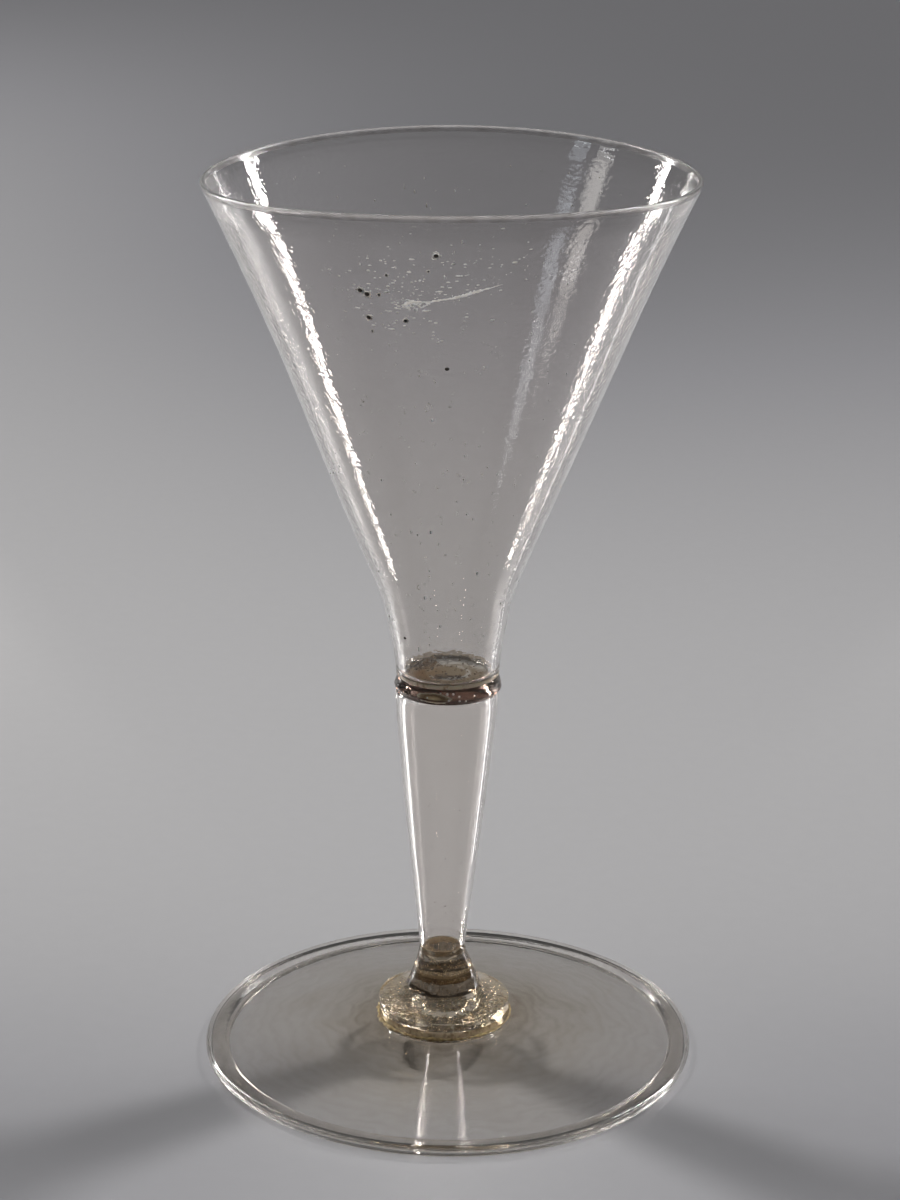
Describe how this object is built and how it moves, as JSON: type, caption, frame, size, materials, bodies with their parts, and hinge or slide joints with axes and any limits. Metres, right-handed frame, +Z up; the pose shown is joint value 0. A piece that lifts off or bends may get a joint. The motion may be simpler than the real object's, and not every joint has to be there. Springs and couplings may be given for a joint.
{
  "type": "stemmed glass",
  "caption": "Free-blown stemmed drinking glass: funnel bowl, solid collar, hollow tapered stem, flared capstan, solid disc and a conical foot with its edge folded under.",
  "frame": {"origin": "on the glass's axis in the plane of the table that it stands on", "axes": "+Z up along the axis; the glass is round, so +X and +Y are any two square directions across it"},
  "size_m": [0.0944, 0.0944, 0.1725],
  "materials": {
    "bowl_glass": "clear, fire polished, with seeds and stones",
    "stem_glass": "clear, fire polished",
    "solid_glass": "clear, warm in the thick parts, with bubbles",
    "foot_glass": "clear, fire polished, faintly streaky",
    "scar_glass": "clear, broken and rough"
  },
  "bodies": {
    "root": {"bowl": "bowl_glass", "bowl_collar": "solid_glass", "stem": "stem_glass", "capstan": "solid_glass", "foot_disc": "solid_glass", "foot": "foot_glass", "pontil_scar": "scar_glass"}
  },
  "joints": []
}
